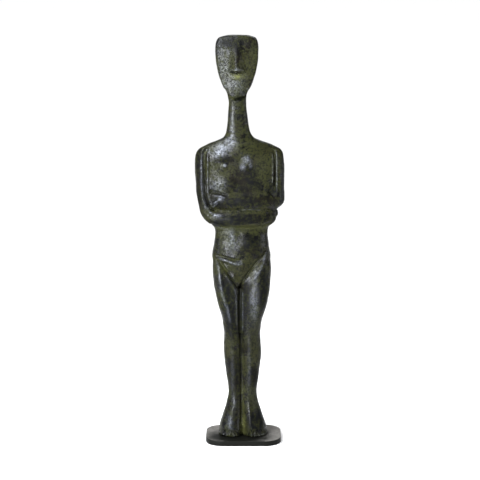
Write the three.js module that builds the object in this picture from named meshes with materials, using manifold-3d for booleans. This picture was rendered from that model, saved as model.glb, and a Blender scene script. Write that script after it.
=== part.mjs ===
// A cast bronze copy of a Cycladic folded-arm figurine, standing on a thin plinth plate.
// Millimetres, +Z up, the figure faces -Y. The origin is the centre of the plinth's underside.
import * as THREE from "three";
import { mergeVertices } from "three/addons/utils/BufferGeometryUtils.js";
import Module from "manifold-3d";

const wasm = await Module();
wasm.setup();

// Driving dimensions
const figureHeight = 246.2; // soles to crown
const plinthWidth = 46.5;
const plinthDepth = 34;
const plinthThickness = 3.5;
const plinthCornerRadius = 10.5;
const plinthEdgeRound = 0.8; // rounding of the upper and lower rims
const solderGap = 0.3; // the seam between the soles and the plinth

// The figure's canon: it is 1000 parts tall, and every proportion below is in those parts.
const canon = 1000;
const part = figureHeight / canon;

// Levels of both legs together: height above the soles, half the width across the legs, reach to the front
// and to the back, and how far the centre line stands aside of the plinth's centre.
const legLevels = [
  { up: 0, half: 60.5, front: 43, back: 30, aside: -1 },
  { up: 22, half: 58.5, front: 40, back: 30, aside: -1.5 },
  { up: 49, half: 50, front: 32, back: 27, aside: -2 },
  { up: 80, half: 40.5, front: 25, back: 23, aside: -2 },
  { up: 108, half: 36, front: 22, back: 21, aside: -2 },
  { up: 158, half: 41.5, front: 24, back: 27, aside: -2 },
  { up: 215, half: 47, front: 27, back: 31, aside: -2.5 },
  { up: 258, half: 45.5, front: 30, back: 24, aside: -3.5 },
  { up: 290, half: 48.5, front: 32, back: 25, aside: -3.5 },
  { up: 344, half: 61.5, front: 38, back: 32, aside: -4 },
  { up: 385, half: 69.5, front: 39, back: 39, aside: -4 },
  { up: 425, half: 72.5, front: 36, back: 41, aside: -4 },
  { up: 450, half: 71, front: 32, back: 38, aside: -4.5 },
  { up: 470, half: 68, front: 28, back: 29, aside: -5 },
  { up: 492, half: 60, front: 18, back: 18, aside: -5 },
];

// Levels of the trunk, which starts as the pubic wedge between the thighs and runs on through the neck into
// the skull. Square is the superellipse exponent of the section: 2 is round, and more is flatter.
const trunkLevels = [
  { up: 371, half: 3, front: 20, back: 4, aside: -4, square: 3 },
  { up: 385, half: 11, front: 30, back: 8, aside: -5, square: 3 },
  { up: 402, half: 25, front: 36, back: 14, aside: -6, square: 3 },
  { up: 422, half: 43, front: 38, back: 22, aside: -7, square: 2.8 },
  { up: 440, half: 60, front: 38, back: 29, aside: -6, square: 2.5 },
  { up: 458, half: 71.5, front: 37.5, back: 33, aside: -5, square: 2.3 },
  { up: 484, half: 68, front: 36.5, back: 27, aside: -5, square: 2.2 },
  { up: 514, half: 64.5, front: 31, back: 22, aside: -5, square: 2.3 },
  { up: 532, half: 64.5, front: 26.5, back: 21, aside: -5, square: 2.4 },
  { up: 560, half: 74, front: 27, back: 22, aside: -6, square: 3 },
  { up: 610, half: 82, front: 27, back: 25, aside: -8, square: 3.6 },
  { up: 652, half: 84, front: 28, back: 27, aside: -8, square: 3.6 },
  { up: 690, half: 101, front: 28, back: 27, aside: -9.5, square: 3.4 },
  { up: 711, half: 106, front: 26, back: 25.5, aside: -9.5, square: 3.2 },
  { up: 722, half: 100.5, front: 23.5, back: 23.5, aside: -9.5, square: 2.6 },
  { up: 735, half: 77, front: 21, back: 22, aside: -10.5, square: 2.1 },
  { up: 744, half: 53, front: 20, back: 21.5, aside: -11.5, square: 2 },
  { up: 752, half: 37, front: 19.5, back: 21, aside: -12, square: 2 },
  { up: 766, half: 29.5, front: 19, back: 20.5, aside: -13, square: 2 },
  { up: 800, half: 24.5, front: 18, back: 19.5, aside: -14, square: 2 },
  { up: 838, half: 21.5, front: 17.5, back: 19, aside: -15, square: 2 },
  { up: 853, half: 23, front: 18, back: 20, aside: -15.5, square: 2 },
  { up: 882, half: 36, front: 18, back: 24.5, aside: -16, square: 2.2 },
  { up: 911, half: 46, front: 15, back: 28.5, aside: -17, square: 2.4 },
  { up: 940, half: 51, front: 11, back: 31.5, aside: -17, square: 2.5 },
  { up: 962, half: 52.5, front: 8, back: 33, aside: -17, square: 2.5 },
  { up: 982, half: 51, front: 6, back: 33, aside: -16.5, square: 2.5 },
  { up: 993, half: 46, front: 5, back: 31, aside: -16, square: 2.5 },
  { up: 1000, half: 27, front: 2, back: 24, aside: -15, square: 2.2 },
];

// Arms: points down the middle of each, from inside the shoulder to the fingertips, with half the width seen
// from the front and half the depth. The figure's own left arm crosses above the right one.
const armLevels = {
  right: [
    { aside: -66, up: 706, fore: 0, wide: 14, deep: 12 },
    { aside: -89, up: 704, fore: 0, wide: 17.5, deep: 16 },
    { aside: -99, up: 693, fore: 0, wide: 19, deep: 20.5 },
    { aside: -101, up: 672, fore: 0, wide: 18.5, deep: 24 },
    { aside: -99, up: 630, fore: 1, wide: 18, deep: 23 },
    { aside: -93, up: 590, fore: 5, wide: 18, deep: 21 },
    { aside: -81, up: 563, fore: 14, wide: 20, deep: 18 },
    { aside: -58, up: 553.5, fore: 20, wide: 17.5, deep: 16.5 },
    { aside: -10, up: 553, fore: 24, wide: 17, deep: 14.5 },
    { aside: 38, up: 554, fore: 21, wide: 17, deep: 14 },
    { aside: 72, up: 558, fore: 12, wide: 20, deep: 14 },
  ],
  left: [
    { aside: 47, up: 706, fore: 0, wide: 14, deep: 12 },
    { aside: 70, up: 704, fore: 0, wide: 17.5, deep: 16 },
    { aside: 80, up: 693, fore: 0, wide: 19, deep: 20.5 },
    { aside: 82.5, up: 672, fore: 0, wide: 18.5, deep: 24 },
    { aside: 81, up: 631, fore: 3, wide: 19, deep: 22 },
    { aside: 74.5, up: 601, fore: 10, wide: 25, deep: 19 },
    { aside: 52, up: 598, fore: 20, wide: 21.5, deep: 16.5 },
    { aside: 0, up: 598, fore: 26, wide: 21, deep: 14 },
    { aside: -45, up: 599, fore: 25, wide: 21, deep: 13 },
    { aside: -74, up: 599, fore: 22, wide: 19, deep: 11 },
  ],
};

// The face: a shield-shaped plate that leans back, with its chin standing free of the neck.
const face = {
  aside: -17,
  thick: 17,
  rim: 5, // rounded edge round the flat
  chinFront: 32, // reach of the chin in front of the centre plane
  crownFront: 9, // reach of the plate's top edge
  // Half-widths of the flat, chin to crown
  flat: [
    { up: 858, half: 0 },
    { up: 860, half: 9 },
    { up: 869, half: 21 },
    { up: 889, half: 33.5 },
    { up: 915, half: 42 },
    { up: 945, half: 47 },
    { up: 972, half: 47 },
    { up: 986, half: 43 },
    { up: 992, half: 32 },
    { up: 994, half: 0 },
  ],
};
const nose = { top: 974, tip: 914, aside: -17, halfTop: 5, halfTip: 15, proudTop: 1, proudTip: 13 };

const breasts = [
  { aside: -45, up: 686 },
  { aside: 8, up: 694 },
];
const breast = { radius: 16, proud: 9, sink: 7 };

// Carved lines, as [aside, up] from end to end, with the half-width and depth of the cut, and a reach from
// the centre plane where the line runs between two forms instead of on one surface
const carvedFront = [
  // Right groin, left groin and the upper edge of the pubic triangle
  { line: [[-62, 457], [-40, 420], [-6, 378]], wide: 3.5, deep: 5 },
  { line: [[54, 467], [28, 430], [-2, 378]], wide: 3.5, deep: 5 },
  { line: [[-62, 457], [-34, 449], [-6, 441]], wide: 3, deep: 4 },
  // Right arm and left arm
  { line: [[-90, 714], [-95.5, 690], [-95.5, 640], [-91, 602], [-82, 580]], wide: 5, deep: 9, reach: 25 },
  { line: [[71, 714], [78, 690], [78, 640], [75, 622]], wide: 4.5, deep: 9, reach: 25 },
];
const carvedBack = [
  // Spine, right arm and left arm
  { line: [[-11, 735], [-9, 650], [-5, 480]], wide: 4, deep: 3 },
  { line: [[-88, 708], [-93, 690], [-91, 630], [-83, 580]], wide: 5, deep: 8, reach: 24 },
  { line: [[69, 708], [75, 690], [74, 640], [66, 605]], wide: 5, deep: 8, reach: 24 },
];
const bellyCrease = { up: 537, wide: 3.5, deep: 4, halfSpan: 62 };
const toes = { count: 5, spread: 46, foot: 1, reach: 26, fan: 0.25, wide: 2, deep: 4 };
// The cuts spread over this share of the hand's width, start at this share of it past the tip, and slope
const fingers = { count: 4, cut: 1.2, deep: 3, length: 22, spread: 0.8, start: 0.5, slope: 2 };

// How finely the solids are faceted
const trunkSides = 28;
const legSides = 18;
const armSides = 12;
const stepsBetweenLevels = 2;
const armSteps = 24;
const cutterStep = 14; // spacing of the rings along a carved line
const cutterRise = 6; // how far a cutter stands out of the surface
// Each arm is rounded off at both ends by rings that shrink, placed by shares of its half-width
const armEnds = [
  { shift: -0.95, size: 0.3 },
  { shift: -0.6, size: 0.8 },
  { shift: 0, size: 1 },
];
const fingertipReach = 0.6; // the hand's end is this share as long as the shoulder's

// A monotone cubic through the levels: it never swings past a level's own value.
function smooth(knots, values) {
  const slopes = knots.slice(1).map((k, i) => (values[i + 1] - values[i]) / (k - knots[i]));
  const tangents = values.map((_, i) => {
    if (i === 0) return slopes[0];
    if (i === slopes.length) return slopes[i - 1];
    const [a, b] = [slopes[i - 1], slopes[i]];
    return a * b <= 0 ? 0 : (2 * a * b) / (a + b);
  });
  return (at) => {
    let i = 0;
    while (i < knots.length - 2 && at > knots[i + 1]) i++;
    const span = knots[i + 1] - knots[i];
    const t = Math.min(1, Math.max(0, (at - knots[i]) / span));
    const [t2, t3] = [t * t, t * t * t];
    return (
      (2 * t3 - 3 * t2 + 1) * values[i] +
      (t3 - 2 * t2 + t) * span * tangents[i] +
      (3 * t2 - 2 * t3) * values[i + 1] +
      (t3 - t2) * span * tangents[i + 1]
    );
  };
}

// One smooth function for each property of the levels, over their height or over their order.
function curvesOf(levels, knots) {
  const names = Object.keys(levels[0]);
  return Object.fromEntries(names.map((name) => [name, smooth(knots, levels.map((l) => l[name]))]));
}

// The heights of the rings: each level, with more of them between two levels.
function ringHeights(levels) {
  const heights = [];
  levels.slice(0, -1).forEach((level, i) => {
    for (let k = 0; k < stepsBetweenLevels; k++)
      heights.push(THREE.MathUtils.lerp(level.up, levels[i + 1].up, k / stepsBetweenLevels));
  });
  return [...heights, levels.at(-1).up];
}

// A closed skin over rings of points, with a fan over each end.
function skin(rings) {
  const sides = rings[0].length;
  const points = rings.flat();
  const faces = [];
  rings.slice(0, -1).forEach((_, r) => {
    for (let s = 0; s < sides; s++) {
      const [a, b] = [r * sides + s, r * sides + ((s + 1) % sides)];
      faces.push(a, b, b + sides, a, b + sides, a + sides);
    }
  });
  for (const [ring, flip] of [[0, true], [rings.length - 1, false]]) {
    const middle = points.length;
    const centre = new THREE.Vector3();
    rings[ring].forEach((p) => centre.add(p));
    points.push(centre.divideScalar(sides));
    for (let s = 0; s < sides; s++) {
      const [a, b] = [ring * sides + s, ring * sides + ((s + 1) % sides)];
      faces.push(...(flip ? [b, a, middle] : [a, b, middle]));
    }
  }
  const geometry = new THREE.BufferGeometry().setFromPoints(points);
  geometry.setIndex(faces);
  return geometry;
}

function solidFrom(merged) {
  return new wasm.Manifold(
    new wasm.Mesh({
      numProp: 3,
      vertProperties: merged.attributes.position.array,
      triVerts: new Uint32Array(merged.index.array),
    }),
  );
}

// three.js geometry to a solid with its faces outward, and back
function solidOf(geometry) {
  const bare = geometry.clone();
  bare.deleteAttribute("normal");
  bare.deleteAttribute("uv");
  const merged = mergeVertices(bare, 1e-4);
  const solid = solidFrom(merged);
  if (solid.volume() > 0) return solid;
  merged.index.array.reverse();
  return solidFrom(merged);
}

function geometryOf(solid) {
  const mesh = solid.getMesh();
  const positions = new Float32Array(mesh.vertProperties);
  const geometry = new THREE.BufferGeometry();
  geometry.setAttribute("position", new THREE.BufferAttribute(positions, 3));
  geometry.setIndex(new THREE.BufferAttribute(new Uint32Array(mesh.triVerts), 1));
  geometry.computeVertexNormals();
  return geometry;
}

// A flat superellipse ring, deeper to the front (-Y) than to the back where the level says so.
function ovalRing(up, centre, half, front, back, square, sides) {
  return Array.from({ length: sides }, (_, s) => {
    const angle = (2 * Math.PI * s) / sides;
    const [c, d] = [Math.cos(angle), Math.sin(angle)];
    const x = Math.sign(c) * Math.abs(c) ** (2 / square) * half;
    const y = Math.sign(d) * Math.abs(d) ** (2 / square) * (d < 0 ? front : back);
    return new THREE.Vector3((centre + x) * part, y * part, up * part);
  });
}

const trunk = curvesOf(trunkLevels, trunkLevels.map((l) => l.up));
const legs = curvesOf(legLevels, legLevels.map((l) => l.up));
const legOverlap = 4; // each leg reaches this far past the middle, so that the two are one casting

function trunkSolid() {
  const rings = ringHeights(trunkLevels).map((up) =>
    ovalRing(
      up, trunk.aside(up), trunk.half(up), trunk.front(up), trunk.back(up), trunk.square(up), trunkSides,
    ),
  );
  return solidOf(skin(rings));
}

function legSolid(side) {
  const rings = ringHeights(legLevels).map((up) => {
    const half = legs.half(up) / 2;
    const centre = legs.aside(up) + side * (half - legOverlap / 2);
    return ovalRing(up, centre, half + legOverlap / 2, legs.front(up), legs.back(up), 2, legSides);
  });
  return solidOf(skin(rings));
}

// The surface's reach to the front or back at a place, for laying carved lines on it
function reachAt(aside, up, way) {
  const inOval = (offset, half, reach, square) =>
    Math.abs(offset) >= half ? 0 : reach * (1 - (Math.abs(offset) / half) ** square) ** (1 / square);
  let reach = 0;
  if (up >= trunkLevels[0].up)
    reach = inOval(aside - trunk.aside(up), trunk.half(up), trunk[way](up), trunk.square(up));
  if (up <= legLevels.at(-1).up)
    for (const side of [-1, 1]) {
      const half = legs.half(up) / 2;
      const offset = aside - legs.aside(up) - side * half;
      reach = Math.max(reach, inOval(offset, half + legOverlap, legs[way](up), 2));
    }
  return reach;
}

function armSolid(levels) {
  const knots = levels.map((_, i) => i);
  const arm = curvesOf(levels, knots);
  const at = (t) => new THREE.Vector3(arm.aside(t), -arm.fore(t), arm.up(t));
  const last = levels.length - 1;
  const small = 0.02;
  const ring = (t, shift, size) => {
    const ahead = at(Math.min(last, t + small)).sub(at(Math.max(0, t - small)));
    const along = new THREE.Vector3(ahead.x, 0, ahead.z).normalize();
    const across = new THREE.Vector3(along.z, 0, -along.x);
    const centre = at(t).addScaledVector(along, shift);
    return Array.from({ length: armSides }, (_, s) => {
      const angle = (2 * Math.PI * s) / armSides;
      return centre
        .clone()
        .addScaledVector(across, Math.cos(angle) * arm.wide(t) * size)
        .add(new THREE.Vector3(0, Math.sin(angle) * arm.deep(t) * size, 0))
        .multiplyScalar(part);
    });
  };
  const endReach = arm.wide(last) * fingertipReach;
  const rings = [
    ...armEnds.map((e) => ring(0, e.shift * arm.wide(0), e.size)),
    ...Array.from({ length: armSteps - 1 }, (_, i) => ring((last * (i + 1)) / armSteps, 0, 1)),
    ...armEnds.toReversed().map((e) => ring(last, -e.shift * endReach, e.size)),
  ];
  return solidOf(skin(rings));
}

const faceFoot = face.flat[0].up - face.rim;
const faceHigh = face.flat.at(-1).up + face.rim - faceFoot;
const faceLean = Math.atan2(face.chinFront - face.crownFront, faceHigh);

// How far the face plate reaches to the front at a height
function faceReach(up) {
  return face.chinFront - (up - faceFoot) * Math.tan(faceLean);
}

function faceSolid() {
  const onPlate = ({ up, half }, side) => new THREE.Vector2(side * half * part, (up - faceFoot) * part);
  const leftEdge = face.flat.slice(1).map((p) => onPlate(p, 1));
  const rightEdge = face.flat.slice(0, -1).toReversed().map((p) => onPlate(p, -1));
  const shape = new THREE.Shape();
  shape.moveTo(0, face.rim * part);
  shape.splineThru(leftEdge);
  shape.splineThru(rightEdge);
  const plate = new THREE.ExtrudeGeometry(shape, {
    depth: (face.thick - 2 * face.rim) * part,
    bevelThickness: face.rim * part,
    bevelSize: face.rim * part,
    bevelSegments: 2,
    curveSegments: 3,
  });
  // Stand the plate up facing -Y, lean it back, and set its chin in place.
  plate.translate(0, 0, -(face.thick - face.rim) * part);
  plate.rotateX(Math.PI / 2 - faceLean);
  plate.translate(face.aside * part, -face.chinFront * part, faceFoot * part);
  return solidOf(plate);
}

// The nose: a ridge that widens and rises down to a flat underside
function noseSolid() {
  const slices = 4;
  const rings = Array.from({ length: slices + 1 }, (_, i) => {
    const t = i / slices;
    const up = THREE.MathUtils.lerp(nose.tip, nose.top, t);
    const half = THREE.MathUtils.lerp(nose.halfTip, nose.halfTop, t);
    const proud = THREE.MathUtils.lerp(nose.proudTip, nose.proudTop, t);
    const root = faceReach(up) - face.rim;
    const profile = [[-1, 0], [-0.62, 0.55], [-0.2, 0.95], [0.2, 0.95], [0.62, 0.55], [1, 0]];
    return profile.map(([side, out]) => {
      const reach = root + out * (proud + face.rim);
      return new THREE.Vector3((nose.aside + side * half) * part, -reach * part, up * part);
    });
  });
  return solidOf(skin(rings));
}

function breastSolid({ aside, up }) {
  const ball = new THREE.SphereGeometry(breast.radius * part, 14, 9);
  ball.scale(1, (breast.proud + breast.sink) / breast.radius, 1);
  const reach = reachAt(aside, up, "front") - breast.sink;
  ball.translate(aside * part, -reach * part, up * part);
  return solidOf(ball);
}

// A V-shaped cutter that follows a line laid on the surface
function cutter(line, wide, deep, way, reachOf = reachAt) {
  const outward = way === "front" ? -1 : 1;
  const spots = [];
  line.slice(0, -1).forEach(([x0, z0], i) => {
    const [x1, z1] = line[i + 1];
    const pieces = Math.max(1, Math.round(Math.hypot(x1 - x0, z1 - z0) / cutterStep));
    for (let k = 0; k < pieces; k++)
      spots.push([x0 + ((x1 - x0) * k) / pieces, z0 + ((z1 - z0) * k) / pieces]);
  });
  spots.push(line.at(-1));
  const rings = spots.map(([x, z], i) => {
    const before = spots[Math.max(0, i - 1)];
    const after = spots[Math.min(spots.length - 1, i + 1)];
    const length = Math.hypot(after[0] - before[0], after[1] - before[1]);
    const [nx, nz] = [(after[1] - before[1]) / length, -(after[0] - before[0]) / length];
    const surface = reachOf(x, z, way);
    const open = (wide * (deep + cutterRise)) / deep;
    const corner = (side, level) =>
      new THREE.Vector3((x + nx * side) * part, outward * level * part, (z + nz * side) * part);
    return [
      corner(0, surface - deep),
      corner(open, surface + cutterRise),
      corner(-open, surface + cutterRise),
    ];
  });
  return solidOf(skin(rings));
}

function toeCutters() {
  const cuts = [];
  for (const side of [-1, 1]) {
    const centre = legs.aside(0) + side * (legs.half(0) / 2);
    for (let i = 1; i < toes.count; i++) {
      const aside = centre + (i / toes.count - 0.5) * toes.spread;
      const lean = (aside - centre) * toes.fan;
      cuts.push(cutter([[aside, toes.foot], [aside - lean, toes.reach]], toes.wide, toes.deep, "front"));
    }
  }
  return cuts;
}

// Fingers: parallel cuts that fan over the end of each hand
function fingerCutters() {
  const cuts = [];
  for (const [levels, way] of [[armLevels.left, -1], [armLevels.right, 1]]) {
    const tip = levels.at(-1);
    for (let i = 1; i < fingers.count; i++) {
      const up = tip.up + (i / fingers.count - 0.5) * 2 * tip.wide * fingers.spread;
      const start = [tip.aside + way * tip.wide * fingers.start, up - fingers.slope];
      const end = [tip.aside - way * fingers.length, up + fingers.slope];
      const arm = curvesOf(levels, levels.map((l) => l.aside * way));
      const onHand = (x, z) => {
        const t = Math.min(tip.aside * way, x * way);
        const off = Math.min(0.95, Math.abs(z - tip.up) / tip.wide);
        return arm.fore(t) + arm.deep(t) * Math.sqrt(1 - off * off);
      };
      cuts.push(cutter([start, end], fingers.cut, fingers.deep, "front", onHand));
    }
  }
  return cuts;
}

function figureSolid() {
  const made = [
    trunkSolid(), legSolid(-1), legSolid(1), armSolid(armLevels.right), armSolid(armLevels.left),
    faceSolid(), noseSolid(), ...breasts.map(breastSolid),
  ].reduce((sum, solid) => sum.add(solid));
  const crease = [[-bellyCrease.halfSpan, bellyCrease.up], [bellyCrease.halfSpan, bellyCrease.up]];
  const cuts = [
    ...carvedFront.map((c) => cutter(c.line, c.wide, c.deep, "front", c.reach ? () => c.reach : reachAt)),
    ...carvedBack.map((c) => cutter(c.line, c.wide, c.deep, "back", c.reach ? () => c.reach : reachAt)),
    cutter(crease.map(([x, z]) => [x + trunk.aside(z), z]), bellyCrease.wide, bellyCrease.deep, "front"),
    ...toeCutters(),
    ...fingerCutters(),
  ];
  return cuts.reduce((sum, cut) => sum.subtract(cut), made);
}

// The plinth: a rounded plate with softened rims
function plinthGeometry() {
  const [w, d, r] = [plinthWidth / 2, plinthDepth / 2, plinthCornerRadius];
  const inset = plinthEdgeRound;
  const shape = new THREE.Shape();
  shape.moveTo(-w + inset, -d + r);
  shape.absarc(-w + r, -d + r, r - inset, Math.PI, 1.5 * Math.PI);
  shape.absarc(w - r, -d + r, r - inset, 1.5 * Math.PI, 2 * Math.PI);
  shape.absarc(w - r, d - r, r - inset, 0, 0.5 * Math.PI);
  shape.absarc(-w + r, d - r, r - inset, 0.5 * Math.PI, Math.PI);
  const plate = new THREE.ExtrudeGeometry(shape, {
    depth: plinthThickness - 2 * inset,
    bevelThickness: inset,
    bevelSize: inset,
    bevelSegments: 2,
    curveSegments: 6,
  });
  plate.translate(0, 0, inset);
  return plate;
}

const darkBronze = new THREE.MeshStandardMaterial({ color: 0x2e3022, metalness: 0.6, roughness: 0.32 });
const greyBronze = new THREE.MeshStandardMaterial({ color: 0x3a3a36, metalness: 0.6, roughness: 0.5 });

const figure = new THREE.Mesh(geometryOf(figureSolid()), darkBronze);
figure.name = "figure";
figure.position.z = plinthThickness + solderGap;

const plinth = new THREE.Mesh(geometryOf(solidOf(plinthGeometry())), greyBronze);
plinth.name = "plinth";

const figurine = new THREE.Group();
figurine.add(plinth, figure);
export default figurine;
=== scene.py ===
import math

import bpy
import numpy as np
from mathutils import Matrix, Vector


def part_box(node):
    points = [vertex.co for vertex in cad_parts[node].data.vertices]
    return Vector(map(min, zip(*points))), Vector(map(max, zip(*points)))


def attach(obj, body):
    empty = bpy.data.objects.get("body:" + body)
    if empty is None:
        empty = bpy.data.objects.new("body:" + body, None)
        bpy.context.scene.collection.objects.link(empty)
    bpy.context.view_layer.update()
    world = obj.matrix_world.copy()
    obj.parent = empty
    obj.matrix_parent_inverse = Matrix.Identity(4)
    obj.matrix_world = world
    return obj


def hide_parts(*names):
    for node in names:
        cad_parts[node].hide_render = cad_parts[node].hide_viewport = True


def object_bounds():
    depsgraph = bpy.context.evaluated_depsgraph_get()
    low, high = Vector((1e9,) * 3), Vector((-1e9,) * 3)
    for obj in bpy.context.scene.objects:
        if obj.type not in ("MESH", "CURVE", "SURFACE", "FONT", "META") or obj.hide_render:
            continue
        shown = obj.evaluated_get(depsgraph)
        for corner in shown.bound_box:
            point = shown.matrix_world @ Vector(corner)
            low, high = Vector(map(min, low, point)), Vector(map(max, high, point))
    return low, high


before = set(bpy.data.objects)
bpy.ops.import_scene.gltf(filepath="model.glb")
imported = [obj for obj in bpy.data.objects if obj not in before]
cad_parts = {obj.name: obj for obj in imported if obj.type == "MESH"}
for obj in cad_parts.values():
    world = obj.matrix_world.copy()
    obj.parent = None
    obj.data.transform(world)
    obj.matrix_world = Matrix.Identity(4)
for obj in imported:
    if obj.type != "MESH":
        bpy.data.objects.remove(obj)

import openvdb
from mathutils import Vector

# A cast bronze copy of a Cycladic folded-arm figurine on a thin plinth plate.
# Blender's metres, +Z up, the figure faces -Y. The figure is 1000 parts tall, as in a sculptor's canon.

mm = 0.001
cadLow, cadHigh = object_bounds()
figureLow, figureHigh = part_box("figure")
plinthLow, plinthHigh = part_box("plinth")
clearance = 0.01 * mm  # how far inside the solids' box the figure's mesh stays
canon = 1000
part = (figureHigh[2] - figureLow[2]) / canon


# Camera and stage

view = {
    "distance": 1000 * mm,
    "tilt": math.radians(11),  # looks down on the figure by this much
    "aside": -2.1 * mm,
    "height": 125.8 * mm,  # of the point in the middle of the picture
    "focalShare": 1641 / 480,  # focal length over the picture's width
    "sensor": 36,
    "nearest": 50 * mm,
}


def makeCamera():
    data = bpy.data.cameras.new("camera")
    data.sensor_width = view["sensor"]
    data.lens = view["sensor"] * view["focalShare"]
    data.clip_start = view["nearest"]
    camera = bpy.data.objects.new("camera", data)
    back = view["distance"] * math.cos(view["tilt"])
    rise = view["distance"] * math.sin(view["tilt"])
    camera.location = (view["aside"], -back, view["height"] + rise)
    camera.rotation_euler = (math.pi / 2 - view["tilt"], 0, 0)
    bpy.context.collection.objects.link(camera)
    bpy.context.scene.camera = camera
    print("camera: lens", round(data.lens, 1), "mm")


# Numbers along a piece

def monotoneCurve(knots, values, at):
    # A monotone cubic: smooth, and never past the values it joins
    knots = np.asarray(knots, float)
    values = np.asarray(values, float)
    steps = np.diff(knots)
    slopes = np.diff(values) / steps
    product = slopes[:-1] * slopes[1:]
    total = np.where(product > 0, slopes[:-1] + slopes[1:], 1)
    inner = np.where(product > 0, 2 * product / total, 0)
    tangents = np.concatenate(([slopes[0]], inner, [slopes[-1]]))
    spot = np.clip(at, knots[0], knots[-1])
    i = np.clip(np.searchsorted(knots, spot, side="right") - 1, 0, len(steps) - 1)
    t = (spot - knots[i]) / steps[i]
    start = (2 * t**3 - 3 * t**2 + 1) * values[i] + (t**3 - 2 * t**2 + t) * steps[i] * tangents[i]
    end = (3 * t**2 - 2 * t**3) * values[i + 1] + (t**3 - t**2) * steps[i] * tangents[i + 1]
    return start + end


def smoothStep(low, high, at):
    t = np.clip((at - low) / (high - low), 0, 1)
    return t * t * (3 - 2 * t)


def blendUnion(a, b, soft):
    # Joins two distance fields with a fillet of about this size
    near = np.maximum(soft - np.abs(a - b), 0) / soft
    return np.minimum(a, b) - near * near * soft / 4


def blendCut(a, b, soft):
    return -blendUnion(-a, -b, soft)


# The figure: a distance field on a grid, in parts. Levels go up from the soles.

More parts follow.
